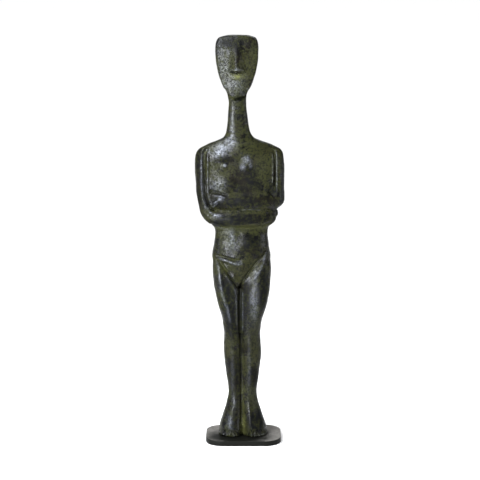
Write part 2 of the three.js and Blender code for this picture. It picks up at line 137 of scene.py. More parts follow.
figureCast = {
    "voxel": 2.2,
    "margin": 5,  # voxels of empty grid round the figure
    "band": 3,  # voxels of distance kept on each side of the surface
    "legs": [  # up, half width of both, front, back, aside, squareness
        (0, 64, 44, 31, -1, 2), (8, 60.5, 42, 30, -1, 2), (22, 58.5, 40, 30, -1.5, 2),
        (49, 50, 32, 27, -2, 2), (80, 40.5, 25, 23, -2, 2.1), (108, 36, 22, 21, -2, 2.2),
        (158, 41.5, 24, 27, -2, 2.3), (215, 47, 27, 31, -2.5, 2.4), (258, 45.5, 30, 24, -3.5, 2.4),
        (290, 48.5, 32, 25, -3.5, 2.6), (344, 61.5, 38, 32, -4, 3), (385, 69.5, 39, 39, -4, 3),
        (425, 72.5, 36, 41, -4, 2.8), (450, 71, 32, 38, -4.5, 2.5), (470, 68, 28, 29, -5, 2.3),
        (492, 60, 18, 18, -5, 2),
    ],
    "trunk": [  # up, half width, front, back, aside, squareness
        (371, 3, 20, 4, -4, 3), (385, 11, 30, 8, -5, 3), (402, 25, 36, 14, -6, 3), (422, 43, 38, 22, -7, 2.8),
        (440, 60, 38, 29, -6, 2.5), (458, 71.5, 37.5, 33, -5, 2.3), (484, 68, 36.5, 27, -5, 2.8),
        (514, 64.5, 31, 22, -5, 3), (532, 64.5, 26.5, 21, -5, 3), (560, 74, 27, 22, -6, 3),
        (610, 82, 27, 25, -8, 3.6), (652, 84, 28, 27, -8, 3.6), (690, 101, 29, 27, -9.5, 3.4),
        (711, 106, 30, 25.5, -9.5, 2.5), (722, 100.5, 27, 23.5, -9.5, 2.1), (735, 77, 23.5, 22, -10.5, 2),
        (744, 53, 20, 21.5, -11.5, 2), (752, 37, 19.5, 21, -12, 2.2), (766, 29.5, 19, 20.5, -13, 2.6),
        (800, 24.5, 18, 19.5, -14, 3), (838, 21.5, 17.5, 19, -15, 3), (853, 23, 18, 20, -15.5, 2.6),
        (882, 35, 18, 24.5, -15.5, 2.2), (911, 45, 15, 28.5, -16, 2.4), (940, 50, 11, 31.5, -16, 2.5),
        (962, 51.5, 8, 33, -16, 2.5), (982, 50, 6, 33, -16, 2.5), (993, 45, 5, 31, -15.5, 2.5),
        (1000, 27, 2, 24, -15, 2.2),
    ],
    "rightArm": [  # aside, up, fore, half width, half depth
        (-66, 706, 0, 14, 12), (-90, 706, 0, 18.5, 16), (-99, 694, 0, 20, 20.5), (-101, 672, 0, 18.5, 24),
        (-99, 630, 1, 18, 23), (-93, 590, 5, 18, 21), (-81, 563, 14, 20, 18), (-58, 553.5, 20, 17.5, 16.5),
        (-10, 553, 24, 17, 14.5), (38, 554, 21, 17, 14), (62, 561, 14, 21, 14), (67, 566, 11, 18, 13),
    ],
    "leftArm": [
        (47, 706, 0, 14, 12), (70, 704, 0, 17.5, 16), (80, 693, 0, 19, 20.5), (82.5, 672, 0, 18.5, 24),
        (84.5, 638, 2, 15.5, 22), (76.5, 602, 9, 24, 20), (52, 598, 20, 21.5, 16.5), (0, 598, 26, 21, 14),
        (-45, 599, 25, 21, 13), (-66, 599, 22, 19, 11.5),
    ],
    "faceOutline": [  # aside of the face's middle, up
        (0, 852), (12, 853.5), (21, 857.5), (27, 865), (32.5, 875), (38, 889), (46, 915), (50.5, 940),
        (52, 962), (51, 978), (46, 990), (36, 996), (20, 999), (0, 1000),
    ],
    "faceAside": -16, "faceTurn": 0.1, "chinFront": 32, "crownFront": 9,
    "faceDome": {"height": 8, "reach": 53, "fall": 1.6, "share": 0.8, "sink": 0.5},
    "jaw": {"start": -14, "rise": 0.5, "end": 8},  # how far back the head reaches, from the chin up
    "nose": {"top": 984, "tip": 914, "aside": -17, "halfTop": 7, "halfTip": 15.5, "proudTop": 0,
             "proudTip": 14, "above": 4, "flank": 1.3, "root": 8, "crestReach": 1.5, "crestRound": 0.3,
             "evening": 0.8},
    "headOverlap": 12, "legOverlap": 4, "outlineSpacing": 0.6,
    # Breasts and the soft swells of the body: aside, up, reach across, reach up, proud
    "swells": [
        (-46, 684, 9, 9, 4), (8, 690, 18, 20, 12), (-6, 724, 66, 30, 5), (-50, 637, 36, 24, 4),
        (10, 498, 42, 36, 5), (47, 350, 34, 66, 5),
    ],
    # How wide the forms run into each other. The waist's is added between two levels under the right forearm.
    "fillets": {"legs": 1.5, "hips": 6, "rightArm": 9, "waist": 15, "leftArm": 8, "head": 4, "nose": 3},
    "waistLevels": (560, 542),
    "rounding": {"crown": 6, "soles": 3, "face": 5, "jaw": 6, "noseTip": 1.5},
    "fingers": {"count": 4, "spread": 1.9, "reach": (16, 0, -14), "wide": 3, "deep": 1.4},
    "toes": {"count": 5, "spread": 50, "fan": 0.2, "levels": (-6, 4, 14), "wide": 3.2, "deep": 2.6},
    "hammering": [(0.7, 11, 4), (0.3, 5, 7)],  # height, reach in voxels, seed
    # Depths over which carvings, patina with its painted shade, and the rubbing with its painted highlights
    # give out from the front to the back
    "carvingFade": 8, "patinaFade": 12, "rubHighlightFade": 10,
    "rubHighlightReach": 0.3,  # of a ridge's half width
    "rubHighlightSpacing": 1.5,
    "swellFall": (1.6, 1.3),
    "wearReaches": (5, 11),
    "settling": {"steps": 2, "share": 0.8},  # of the mesh's points onto the true surface
}

# Carved lines: points as aside and up, half width and depth. A ridge has a depth below zero. Some have a flat
# # share of floor, run out over a length at the lower end, lie at the back or behind a depth, or carry a rub:
# a painted highlight along the ridge, paler and partly metallic.
carvings = {
    "rightGroin": {"line": [(-63, 452), (-38, 418), (-11, 380)], "wide": 4.5, "deep": 4.5},
    "leftGroin": {"line": [(54, 471), (24, 435), (-2, 398), (-8, 382)], "wide": 4.5, "deep": 5},
    "leftGroinAbove": {"line": [(50, 474), (38, 464), (26, 453)], "wide": 3, "deep": 2},
    "pubicEdge": {"line": [(-64, 461), (-50, 459), (-30, 454), (-8, 451)], "wide": 4, "deep": 3.5},
    "pubicLip": {"rubHighlight": 0.3, "wide": 8, "deep": -4,
     "line": [(-62, 455), (-40, 450), (-22, 444), (-5, 444)]},
    "pubicHollow": {"line": [(-26, 424), (-8, 412), (8, 420), (24, 446)], "wide": 18, "deep": 3},
    "outerPubicStroke": {"line": [(-54, 446), (-34, 414)], "wide": 3, "deep": 1.5},
    "innerPubicStroke": {"line": [(-47, 444), (-27, 412)], "wide": 3, "deep": 1.5},
    "rightHipRidge": {"rubHighlight": 0.25, "wide": 11, "deep": -2.8,
     "line": [(-66, 448), (-61, 425), (-57, 389), (-50, 358), (-40, 330), (-33, 296)]},
    "rightShinRidge": {"wide": 14, "deep": -2,
     "line": [(-32, 300), (-28, 230), (-25, 160), (-22, 92), (-28, 62), (-34, 36), (-37, 16)]},
    "rightGroinRidge": {"line": [(-44, 422), (-31, 400), (-19, 375)], "wide": 6, "deep": -1.5},
    "leftGroinRidge": {"rubHighlight": 0.4, "wide": 7, "deep": -3,
     "line": [(56, 468), (46, 437), (26, 403)]},
    "leftShinRidge": {"wide": 12, "deep": -2,
     "line": [(20, 270), (14, 200), (14, 92), (16, 54), (16, 16)]},
    "cleft": {"wide": 5, "deep": 4, "fade": 60,
     "line": [(-9, 386), (-10, 335), (-9, 270), (-8, 230)]},
    "lowerCleft": {"line": [(-8, 262), (-7, 200), (-6, 120), (-5, 30)], "wide": 3.4, "deep": 3},
    "rightCleftEdge": {"rubHighlight": 0.2, "wide": 4, "deep": -1.8,
     "line": [(-26, 388), (-18, 365), (-17, 330), (-16, 285)]},
    "leftCleftEdge": {"rubHighlight": 0.3, "wide": 3.5, "deep": -1.5,
     "line": [(-2, 372), (-2, 330), (-2, 270)]},
    "rightArmpit": {"wide": 6, "deep": 6.5, "floor": 0.4,
     "line": [(-90, 722), (-96, 708), (-96.5, 640), (-94, 607), (-87, 585)]},
    "underHand": {"line": [(-87, 585), (-81, 578), (-70, 574)], "wide": 4.5, "deep": 3},
    "rightArmRidge": {"rubHighlight": 0.4, "wide": 7, "deep": -2.5,
     "line": [(-98, 718), (-101, 700), (-101, 650), (-99, 615), (-95, 596), (-87, 578), (-76, 567),
              (-52, 562)]},
    "chestEdge": {"rubHighlight": 0.2, "wide": 4, "deep": -2,
     "line": [(-87, 716), (-87, 640), (-85, 602), (-75, 581)]},
    "leftArmpit": {"wide": 4, "deep": 5, "floor": 0.3, "fade": 36,
     "line": [(74, 720), (76.5, 700), (77, 640), (77, 610)]},
    "leftChestEdge": {"rubHighlight": 0.15, "wide": 3.5, "deep": -1.5,
     "line": [(71, 716), (72, 690), (72, 636)]},
    "leftArmRidge": {"rubHighlight": 0.3, "wide": 4, "deep": -1.5,
     "line": [(79, 722), (81, 700), (81, 624)]},
    "aboveHand": {"line": [(-80, 621), (-62, 618), (-42, 613)], "wide": 5, "deep": 4},
    "upperFinger": {"rubHighlight": 0.5, "line": [(-69, 611), (-57, 611), (-45, 607)], "wide": 4.5, "deep": -2.5},
    "middleFinger": {"rubHighlight": 0.5, "line": [(-75, 591), (-66, 598), (-55, 605)], "wide": 5, "deep": -3},
    "lowerFinger": {"rubHighlight": 0.5, "line": [(-75, 582), (-70, 588), (-62, 595)], "wide": 4, "deep": -2.5},
    "forearmEdge": {"rubHighlight": 0.35, "wide": 3.2, "deep": -1.2,
     "line": [(-8, 576), (15, 577.5), (42, 576)]},
    "waistCrease": {"line": [(-78, 541), (-40, 532), (26, 532), (66, 545)], "wide": 6, "deep": 2.5},
    "spine": {"line": [(-11, 735), (-9, 650), (-5, 480)], "wide": 7, "deep": 4, "back": True},
    "rightBack": {"wide": 6, "deep": 8, "back": True,
     "line": [(-88, 708), (-93, 690), (-91, 630), (-83, 580)]},
    "leftBack": {"wide": 6, "deep": 8, "back": True,
     "line": [(69, 708), (75, 690), (74, 640), (66, 605)]},
    "underChin": {"wide": 10, "deep": 6, "behind": (-32, -24),
     "line": [(-46, 865), (-34, 855), (-19, 851), (-3, 855), (8, 865)]},
    "underNose": {"line": [(-28, 913), (-17, 912), (-6, 913)], "wide": 4.5, "deep": 4},
}

# Where the patina pooled olive (above zero) or stayed black, and painted shade, such as the dark crescent
# over the breast and the darker crown: aside, up, reach across, reach up, strength
patinaPoolsAndShade = [
    (11, 925, 24, 30, 0.2), (4, 980, 36, 14, -0.13), (-26, 935, 10, 28, 0.15), (-50, 925, 18, 36, 0.25),
    (-26, 882, 18, 16, 0.2), (-15, 945, 5, 30, -0.2), (-42, 980, 26, 20, -0.16), (-60, 672, 26, 20, 0.3),
    (-48, 699, 15, 7, -0.5), (-109, 640, 5, 80, -0.3), (-50, 544, 40, 8, -0.3), (50, 665, 22, 32, 0.15),
    (22, 728, 30, 14, 0.12), (12, 650, 48, 28, -0.22), (-5, 553, 18, 10, -0.25), (-60, 600, 24, 16, -0.2),
    (20, 600, 60, 12, -0.14), (20, 556, 44, 9, -0.16), (0, 531, 78, 9, 0.3), (15, 487, 20, 22, -0.2),
    (0, 428, 30, 24, 0.3), (-33, 370, 15, 50, -0.2), (50, 380, 10, 60, -0.2), (8, 372, 9, 40, -0.25),
    (72, 622, 10, 12, -0.35), (98, 650, 7, 70, -0.12), (-34, 232, 10, 14, 0.3), (-26, 285, 14, 36, -0.15),
    (-6, 300, 5, 80, -0.2), (-20, 160, 16, 50, -0.2), (30, 225, 12, 30, 0.25), (8, 226, 8, 9, -0.3),
    (26, 155, 10, 26, -0.25), (25, 95, 12, 18, 0.2), (-30, 40, 22, 36, -0.06), (32, 35, 18, 25, -0.25),
]
# Painted highlights and sheen: spots given the paler, partly metallic rubbed colour where the light shines on
# the figure, such as the chest, neck, chin, cheek, belly and thigh
rubbedAndHighlitSpots = [
    (-63, 715, 12, 9, 0.6), (-50, 728, 14, 11, 0.6), (-30, 741, 12, 9, 0.4), (-85, 720, 5, 5, 0.3),
    (-62, 639, 18, 15, 0.28), (7, 702, 7, 7, 0.7), (-1, 683, 6, 8, 0.5), (17, 688, 4, 6, 0.5),
    (-46, 686, 4, 4, 0.6), (-28, 772, 4, 28, 0.25), (-24, 884, 22, 16, 0.2), (-48, 925, 14, 34, 0.15),
    (-30, 504, 8, 24, 0.3), (26, 345, 9, 44, 0.3), (31, 420, 5, 14, 0.25), (-17, 921, 4, 3, 0.4),
    (-22, 84, 4, 18, 0.15), (-14, 444, 8, 4, 0.5), (-34, 34, 8, 18, 0.25), (-27, 150, 4, 60, 0.12),
    (15, 175, 4, 60, 0.12), (-66, 562, 12, 5, 0.3), (-56, 604, 6, 4, 0.5), (99, 650, 5, 60, 0.12),
]
verdigrisSpots = [(-15, 903, 13, 6, 0.8), (-1, 26, 6, 24, 0.8), (0, 90, 4, 40, 0.15), (0, 533, 70, 6, 0.12)]


def makeGrid(shape):
    voxel = shape["voxel"]
    margin = shape["margin"] * voxel
    low = np.array([figureLow[0] / part, figureLow[1] / part, 0]) - margin
    high = np.array([figureHigh[0] / part, figureHigh[1] / part, canon]) + margin
    counts = np.ceil((high - low) / voxel).astype(int) + 1
    axes = [low[i] + voxel * np.arange(counts[i]) for i in range(3)]
    x = axes[0].astype(np.float32)[:, None, None]
    y = axes[1].astype(np.float32)[None, :, None]
    z = axes[2].astype(np.float32)[None, None, :]
    return low, x, y, z


def trueDistance(field, voxel, flattest=0.3):
    # Evens a field out, so that its values are near to distances
    slopes = np.gradient(field, voxel)
    steep = np.sqrt(slopes[0] ** 2 + slopes[1] ** 2 + slopes[2] ** 2)
    return field / np.maximum(steep, flattest)


def ovalBody(levels, x, y, z, side=0, overlap=0):
    # A body of ovals, rounder or squarer by level
    table = np.array(levels)
    half, front, back, aside, square = [
        monotoneCurve(table[:, 0], table[:, i], z.ravel())[None, None, :] for i in range(1, 6)]
    if side:  # one leg of the two
        aside = aside + side * (half / 2 - overlap / 2)
        half = half / 2 + overlap / 2
    deep = np.where(y < 0, front, back)
    reach = (np.abs(x - aside) / half) ** square + (np.abs(y) / deep) ** square
    field = (reach ** (1 / square) - 1) * np.minimum(half, (front + back) / 2)
    return field.astype(np.float32)


def frontColumns(x, z):
    # Where each column of the grid stands on the front plane
    shape = (x.shape[0], z.shape[2])
    return np.broadcast_to(x[:, 0, :], shape), np.broadcast_to(z[:, 0, :], shape)


def nearestOnPath(x, z, path):
    # How far each column of the grid is from a path on the front plane, and from which of its spots
    across, up = frontColumns(x, z)
    best = np.full(across.shape, np.inf)
    spot = np.zeros(across.shape, int)
    for i, (px, pz) in enumerate(path):
        far = (across - px) ** 2 + (up - pz) ** 2
        closer = far < best
        best[closer] = far[closer]
        spot[closer] = i
    return np.sqrt(best), spot


def armBody(levels, x, y, z, stepsPerLevel=36):
    # A limb along a path on the front plane, oval across
    table = np.array(levels)
    knots = np.arange(len(levels))
    t = np.linspace(0, len(levels) - 1, stepsPerLevel * len(levels))
    columns = [monotoneCurve(knots, table[:, i], t) for i in range(5)]
    aside, spot = nearestOnPath(x, z, list(zip(columns[0], columns[1])))
    fore, wide, deep = [c[spot][:, None, :] for c in columns[2:]]
    field = np.sqrt((aside[:, None, :] / wide) ** 2 + ((y + fore) / deep) ** 2) - 1
    return (field * np.minimum(wide, deep)).astype(np.float32)


def smoothPath(points, spacing):
    # A Catmull-Rom curve through the points, at about even spacing
    table = np.array(points, float)
    ends = [2 * table[0] - table[1], 2 * table[-1] - table[-2]]
    table = np.vstack([ends[0], table, ends[1]])
    path = []
    for i in range(1, len(table) - 2):
        a, b, c, d = table[i - 1 : i + 3]
        count = max(2, int(np.linalg.norm(c - b) / spacing))
        for t in np.arange(count) / count:
            path.append(0.5 * (2 * b + (c - a) * t + (2 * a - 5 * b + 4 * c - d) * t**2
                               + (3 * b - a - 3 * c + d) * t**3))
    path.append(table[-2])
    return np.array(path)


def outlineDistance(outline, x, z):
    # Signed distance from a closed outline on the front plane: the columns inside are negative
    far, _ = nearestOnPath(x, z, outline)
    nextOne = np.roll(outline, -1, axis=0)
    across, up = frontColumns(x, z)
    inside = np.zeros(far.shape, bool)
    for (ax, az), (bx, bz) in zip(outline, nextOne):
        if az == bz:
            continue
        crosses = (az > up) != (bz > up)
        inside ^= crosses & (across < (bx - ax) * (up - az) / (bz - az) + ax)
    return np.where(inside, -far, far)[:, None, :]


def headBody(shape, x, y, z):
    right = smoothPath(shape["faceOutline"], shape["outlineSpacing"])
    outline = np.vstack([right, right[-2:0:-1] * (-1, 1)])
    outline[:, 0] += shape["faceAside"]
    edge = outlineDistance(outline, x, z)
    foot = shape["faceOutline"][0][1]
    lean = (shape["chinFront"] - shape["crownFront"]) / (canon - foot)
    rounding = shape["rounding"]
    # The face leans back from the chin, domed across and turned a little
    dome = shape["faceDome"]
    aside = np.abs(x - shape["faceAside"]) / dome["reach"]
    rise = dome["height"] * np.clip(1 - aside ** dome["fall"], 0, 1)
    plane = shape["chinFront"] - (z - foot) * lean - dome["height"] * dome["sink"] + rise * dome["share"]
    plane = plane + (x - shape["faceAside"]) * shape["faceTurn"]
    front = -y - plane
    jaw = shape["jaw"]
    behind = y - np.clip(jaw["start"] + (z - foot) * jaw["rise"], jaw["start"], jaw["end"])
    head = blendCut(blendCut(edge, front, rounding["face"]), behind, rounding["jaw"])
    # A ridge nose that stands out further and wider down to its flat underside
    nose = shape["nose"]
    t = np.clip((z - nose["tip"]) / (nose["top"] - nose["tip"]), 0, 1)
    half = nose["halfTip"] + (nose["halfTop"] - nose["halfTip"]) * t
    proud = nose["proudTip"] + (nose["proudTop"] - nose["proudTip"]) * t
    across = np.abs(x - nose["aside"]) / half
    ridge = np.clip(nose["crestReach"] - np.sqrt(across**2 + nose["crestRound"]), 0, 1)
    bridge = (front - proud * ridge) * nose["evening"]
    bridge = blendCut(bridge, nose["tip"] - z, rounding["noseTip"])
    bridge = np.maximum(bridge, z - nose["top"] - nose["above"])
    bridge = np.maximum(bridge, np.abs(x - nose["aside"]) - half * nose["flank"])
    bridge = np.maximum(bridge, -front - nose["root"])
    return blendUnion(head, bridge, shape["fillets"]["nose"]).astype(np.float32)


def hills(shape, scale, seed):
    # Smooth random hills from -1 to 1, for the hand-finished wax
    random = np.random.RandomState(seed)
    counts = [int(np.ceil(n / scale)) + 2 for n in shape]
    lattice = random.uniform(-1, 1, counts).astype(np.float32)
    for axis, n in enumerate(shape):
        at = np.arange(n) / scale
        i = at.astype(int)
        t = smoothStep(0, 1, (at - i).astype(np.float32))
        t = t.reshape([-1 if k == axis else 1 for k in range(3)])
        lattice = np.take(lattice, i, axis) * (1 - t) + np.take(lattice, i + 1, axis) * t
    return lattice


def ridgeTaper(spot, path, wide):
    # A ridge runs out softly at both its ends
    along = np.concatenate(([0], np.cumsum(np.linalg.norm(np.diff(path, axis=0), axis=1))))
    return smoothStep(-wide, 2 * wide, np.minimum(along, along[-1] - along)[spot])


def carve(field, x, y, z, carving, shape):
    spacing = shape["voxel"] / 2
    path = smoothPath(carving["line"], spacing)
    far, spot = nearestOnPath(x, z, path)
    wide = carving["wide"]
    cut = carving["deep"] * smoothStep(0, 1 - carving.get("floor", 0), 1 - far / wide)
    if carving["deep"] < 0:
        cut *= ridgeTaper(spot, path, wide)
    elif "fade" in carving:
        cut *= smoothStep(0, carving["fade"], (len(path) - 1 - spot) * spacing)
    side = smoothStep(0, shape["carvingFade"], y if carving.get("back") else -y)
    if "behind" in carving:
        side = side * smoothStep(*carving["behind"], y)
    field += cut[:, None, :] * side


def fingerLines(shape):
    fingers = shape["fingers"]
    tip, up, _, wide, _ = shape["rightArm"][-1]
    lines = []
    for i in range(1, fingers["count"]):
        level = up + (i / fingers["count"] - 0.5) * fingers["spread"] * wide
        line = [(tip + reach, level) for reach in fingers["reach"]]
        lines.append({"line": line, "wide": fingers["wide"], "deep": fingers["deep"]})
    return lines


def toeLines(shape):
    toes = shape["toes"]
    _, half, _, _, aside, _ = shape["legs"][0]
    low, middle, high = toes["levels"]
    lines = []
    for side in (-1, 1):
        centre = aside + side * half / 2
        for i in range(1, toes["count"]):
            across = centre + (i / toes["count"] - 0.5) * toes["spread"]
            lean = (across - centre) * toes["fan"]
            line = [(across, low), (across, middle), (across - lean, high)]
            lines.append({"line": line, "wide": toes["wide"], "deep": toes["deep"]})
    return lines


def figureField(shape, x, y, z):
    voxel, fillets, rounding = shape["voxel"], shape["fillets"], shape["rounding"]
    trunk = trueDistance(ovalBody(shape["trunk"], x, y, z), voxel)
    trunk = np.maximum(trunk, shape["trunk"][0][0] - z)
    trunk = blendCut(trunk, z - canon, rounding["crown"])
    print("figure: trunk done")
    legs = [trueDistance(ovalBody(shape["legs"], x, y, z, side, shape["legOverlap"]), voxel)
            for side in (-1, 1)]
    legs = np.maximum(blendUnion(legs[0], legs[1], fillets["legs"]), z - shape["legs"][-1][0])
    rightArm, leftArm = [
        trueDistance(armBody(shape[name], x, y, z), voxel) for name in ("rightArm", "leftArm")]
    print("figure: limbs done")
    field = blendUnion(trunk, legs, fillets["hips"])
    # The waist runs up into the lower forearm in a wide fillet
    waist = fillets["waist"] * smoothStep(*shape["waistLevels"], z)
    field = blendUnion(field, rightArm, fillets["rightArm"] + waist)
    field = blendUnion(field, leftArm, fillets["leftArm"])
    head = headBody(shape, x, y, z)
    above = np.broadcast_to(z > shape["faceOutline"][0][1] - shape["headOverlap"], field.shape)
    field = np.where(above, blendUnion(field, head, fillets["head"]), field)
    crest, skirt = shape["swellFall"]
    for aside, up, across, tall, proud in shape["swells"]:
        far = np.sqrt(((x - aside) / across) ** 2 + ((z - up) / tall) ** 2)
        swell = np.clip(1 - far**crest, 0, 1) ** skirt
        field -= proud * swell * smoothStep(0, shape["carvingFade"], -y)
    for carving in [*carvings.values(), *fingerLines(shape), *toeLines(shape)]:
        carve(field, x, y, z, carving, shape)
    field += sum(height * hills(field.shape, reach, seed) for height, reach, seed in shape["hammering"])
    return blendCut(field, -z, rounding["soles"])


def sampleField(field, low, voxel, points):
    # The field's value at points between the grid's
    justInside = np.array(field.shape) - 1.001
    at = np.clip((points - low) / voxel, 0, justInside)
    i = at.astype(int)
    t = at - i
    total = np.zeros(len(points))
    for corner in range(8):
        step = np.array([corner & 1, corner >> 1 & 1, corner >> 2 & 1])
        weight = np.prod(np.where(step, t, 1 - t), axis=1)
        total += weight * field[tuple((i + step).T)]
    return total


def fieldNormals(slopes, low, voxel, points):
    normals = np.stack([sampleField(s, low, voxel, points) for s in slopes], axis=1)
    return normals / np.maximum(np.linalg.norm(normals, axis=1), 1e-6)[:, None]


def pooled(spots, points):
    # The sum of soft spots on the front
    total = np.zeros(len(points))
    for aside, up, across, tall, strength in spots:
        far = ((points[:, 0] - aside) / across) ** 2 + ((points[:, 2] - up) / tall) ** 2
        total += strength * np.exp(-far)
    return total * smoothStep(figureCast["patinaFade"], -figureCast["patinaFade"], points[:, 1])


def rubbedAndHighlit(points):
    # Painted highlights on the ridges that carry a rub and on the highlight spots of the broad forms, marked
    # for the paler, partly metallic colour
    total = np.zeros(len(points))
    for carving in carvings.values():
        if "rubHighlight" in carving:
            path = smoothPath(carving["line"], figureCast["rubHighlightSpacing"])
            reach = figureCast["rubHighlightReach"] * carving["wide"]
            taper = ridgeTaper(np.arange(len(path)), path, carving["wide"])
            for (px, pz), strength in zip(path, carving["rubHighlight"] * taper):
                far = (points[:, 0] - px) ** 2 + (points[:, 2] - pz) ** 2
                total = np.maximum(total, strength * np.exp(-far / reach**2))
    return total * smoothStep(0, -figureCast["rubHighlightFade"], points[:, 1]) + pooled(rubbedAndHighlitSpots, points)


def surfaceOf(field, low, shape):
    # The field's zero surface: its points, drawn onto it, with their normals and faces
    voxel, reach = shape["voxel"], shape["voxel"] * shape["band"]
    volume = openvdb.FloatGrid(float(reach))
    volume.copyFromArray(np.clip(field, -reach, reach))
    points, triangles, quads = volume.convertToPolygons(isovalue=0.0, adaptivity=0.0)
    points = points * voxel + low
    slopes = np.gradient(field, voxel)
    for _ in range(shape["settling"]["steps"]):
        normals = fieldNormals(slopes, low, voxel, points)
        points -= normals * sampleField(field, low, voxel, points)[:, None] * shape["settling"]["share"]
    return points, fieldNormals(slopes, low, voxel, points), triangles, quads


def hollowsAndEdges(gridShape, low, shape, points, normals, triangles, quads):
    # How much metal stands close outside each point, and how little inside, out of a true distance band
    voxel = shape["voxel"]
    band = openvdb.FloatGrid.createLevelSetFromPolygons(
        ((points - low) / voxel).astype(np.float32), triangles=triangles, quads=quads,
        halfWidth=2.0 * shape["band"])
    near = np.zeros(gridShape, np.float32)
    band.copyToArray(near)
    near *= voxel
    recess = np.zeros(len(points))
    wear = np.zeros(len(points))
    for reach in shape["wearReaches"]:
        recess += np.clip(1 - sampleField(near, low, voxel, points + normals * reach) / reach, 0, 1)
        wear += np.clip(1 + sampleField(near, low, voxel, points - normals * reach) / reach, 0, 1)
    return recess / len(shape["wearReaches"]), wear / len(shape["wearReaches"])


def makeFigure():
    shape = figureCast
    low, x, y, z = makeGrid(shape)
    field = figureField(shape, x, y, z).astype(np.float32)
    points, normals, triangles, quads = surfaceOf(field, low, shape)
    recess, wear = hollowsAndEdges(field.shape, low, shape, points, normals, triangles, quads)
    marks = {"recess": recess, "wear": wear, "poolsAndShade": pooled(patinaPoolsAndShade, points),
             "verdigris": pooled(verdigrisSpots, points), "rubHighlight": rubbedAndHighlit(points)}
    points = points * part
    points[:, 2] += figureLow[2]
    points = np.clip(points, np.array(figureLow) + clearance, np.array(figureHigh) - clearance)
    # Turned round, so that the faces look outward
    faces = [tuple(f[::-1]) for f in quads] + [tuple(f[::-1]) for f in triangles]
    mesh = bpy.data.meshes.new("figureCast")
    mesh.from_pydata([tuple(p) for p in points], [], faces)
    mesh.validate()
    for name, values in marks.items():
        mesh.attributes.new(name, "FLOAT", "POINT").data.foreach_set("value", values.astype(np.float32))
    mesh.shade_smooth()
    piece = bpy.data.objects.new("figureCast", mesh)
    bpy.context.collection.objects.link(piece)
    print("figure:", len(points), "points,", len(quads) * 2 + len(triangles), "triangles")
    return piece


# Node building

def feed(tree, socket, value):
    # Links an output to a socket, or sets a constant on it
    if isinstance(value, bpy.types.NodeSocket):
        tree.links.new(value, socket)
    else:
        socket.default_value = value


def addNode(tree, kind, inputs=None, **settings):
    node = tree.nodes.new(kind)
    for name, value in settings.items():
        setattr(node, name, value)
    for name, value in (inputs or {}).items():
        feed(tree, node.inputs[name], value)
    return node


def newTree(name, kind, inputs, outputs):
    tree = bpy.data.node_groups.new(name, kind)
    for label, socketType, value in inputs:
        socket = tree.interface.new_socket(label, in_out="INPUT", socket_type=socketType)
        if value is not None:
            socket.default_value = value
    for label, socketType in outputs:
        tree.interface.new_socket(label, in_out="OUTPUT", socket_type=socketType)
    return tree, tree.nodes.new("NodeGroupInput"), tree.nodes.new("NodeGroupOutput")


def mathNode(tree, operation, a, b, clamp=False):
    return addNode(tree, "ShaderNodeMath", {0: a, 1: b}, operation=operation, use_clamp=clamp).outputs[0]


def plus(tree, a, b, clamp=False):
    return mathNode(tree, "ADD", a, b, clamp)


def times(tree, a, b, clamp=False):
    return mathNode(tree, "MULTIPLY", a, b, clamp)


def ramp(tree, value, low, high):
    inputs = {"Value": value, "From Min": low, "From Max": high}
    return addNode(tree, "ShaderNodeMapRange", inputs, interpolation_type="SMOOTHSTEP").outputs[0]


def mixColor(tree, mask, a, b):
    # The mix node's sockets for colours: inputs 0, 6 and 7, and output 2
    return addNode(tree, "ShaderNodeMix", {0: mask, 6: a, 7: b}, data_type="RGBA").outputs[2]


def weightedSum(tree, total, masks, weights):
    # Adds masks to a value, each by its own weight
    for name, weight in weights.items():
        total = plus(tree, total, times(tree, masks[name], weight))
    return total


# Shader groups

mottleNoise = {"Detail": 8.0, "Roughness": 0.74, "Distortion": 0.4}

skinRule = {
    "hammer": {"Scale": 210.0, "Detail": 3.0}, "hammerHeight": 0.55,
    "grain": {"Detail": 4.0, "Roughness": 0.65}, "grainHeight": 0.3,
    "pits": {"Scale": 700.0}, "pitRim": (0.24, 0.1),
    "pitted": {"Scale": 90.0, "Detail": 2.0}, "pittedEdge": (0.52, 0.66),
}


def makeMottle():
    # Cloudy patches of patina, with ragged edges
    tree, start, end = newTree(
        "patinaMottle", "ShaderNodeTree",
        [("Vector", "NodeSocketVector", None), ("Scale", "NodeSocketFloat", 60.0),
         ("Share", "NodeSocketFloat", 0.5), ("Softness", "NodeSocketFloat", 0.15),
         ("Bias", "NodeSocketFloat", 0.0)],
        [("Mask", "NodeSocketFloat")],
    )
    share, softness = start.outputs["Share"], start.outputs["Softness"]
    noise = addNode(tree, "ShaderNodeTexNoise", {
        "Vector": start.outputs["Vector"], "Scale": start.outputs["Scale"], **mottleNoise})
    cloud = plus(tree, noise.outputs[0], start.outputs["Bias"])
    mask = ramp(tree, cloud, mathNode(tree, "SUBTRACT", share, softness), plus(tree, share, softness))
    feed(tree, end.inputs["Mask"], mask)
    return tree


